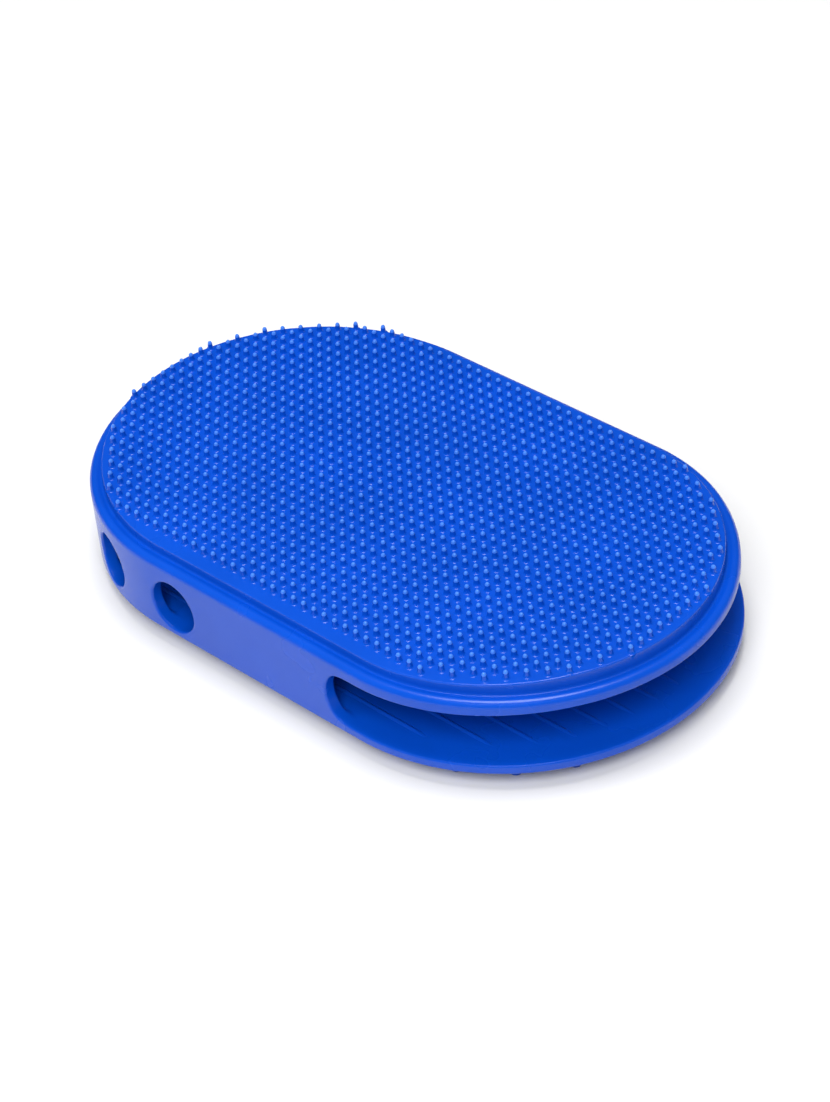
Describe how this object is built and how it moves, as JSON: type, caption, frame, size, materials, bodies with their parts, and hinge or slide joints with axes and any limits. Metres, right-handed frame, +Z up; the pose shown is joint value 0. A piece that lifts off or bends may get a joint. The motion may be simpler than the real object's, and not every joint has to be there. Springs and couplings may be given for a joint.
{
  "type": "curry comb",
  "caption": "Oval double-sided silicone curry comb worn as a hand pocket, with soft fine nubs on one face and coarse massage nubs on the other.",
  "frame": {"origin": "middle of the comb's plan, on the plane that the coarse nubs' tips stand on", "axes": "+X along the comb, out of the hand pocket's mouth; +Y across it, to the left when looking along +X; +Z up, from the coarse nubs to the fine nubs"},
  "size_m": [0.16, 0.0988, 0.0284],
  "materials": {
    "upper_plate": "satin moulded silicone, royal blue",
    "upper_rim": "satin moulded silicone, royal blue, smooth rounded edge",
    "fine_nubs": "satin moulded silicone, royal blue, glossier on the nub tips",
    "side_wall": "satin moulded silicone, royal blue, fine matt mould texture",
    "lower_plate": "satin moulded silicone, royal blue",
    "coarse_nubs": "satin moulded silicone, royal blue",
    "grip_ribs": "satin moulded silicone, royal blue"
  },
  "bodies": {
    "root": {"upper_plate": "upper_plate", "upper_rim": "upper_rim", "fine_nub_field": "fine_nubs", "front_wall": "side_wall", "back_wall": "side_wall", "closed_end_wall": "side_wall", "lower_plate": "lower_plate", "coarse_nub_field": "coarse_nubs", "grip_rib_01": "grip_ribs", "grip_rib_02": "grip_ribs", "grip_rib_03": "grip_ribs", "grip_rib_04": "grip_ribs", "grip_rib_05": "grip_ribs", "grip_rib_06": "grip_ribs", "grip_rib_07": "grip_ribs", "grip_rib_08": "grip_ribs", "grip_rib_09": "grip_ribs", "grip_rib_10": "grip_ribs", "grip_rib_11": "grip_ribs", "grip_rib_12": "grip_ribs", "grip_rib_13": "grip_ribs", "grip_rib_14": "grip_ribs"}
  },
  "joints": []
}
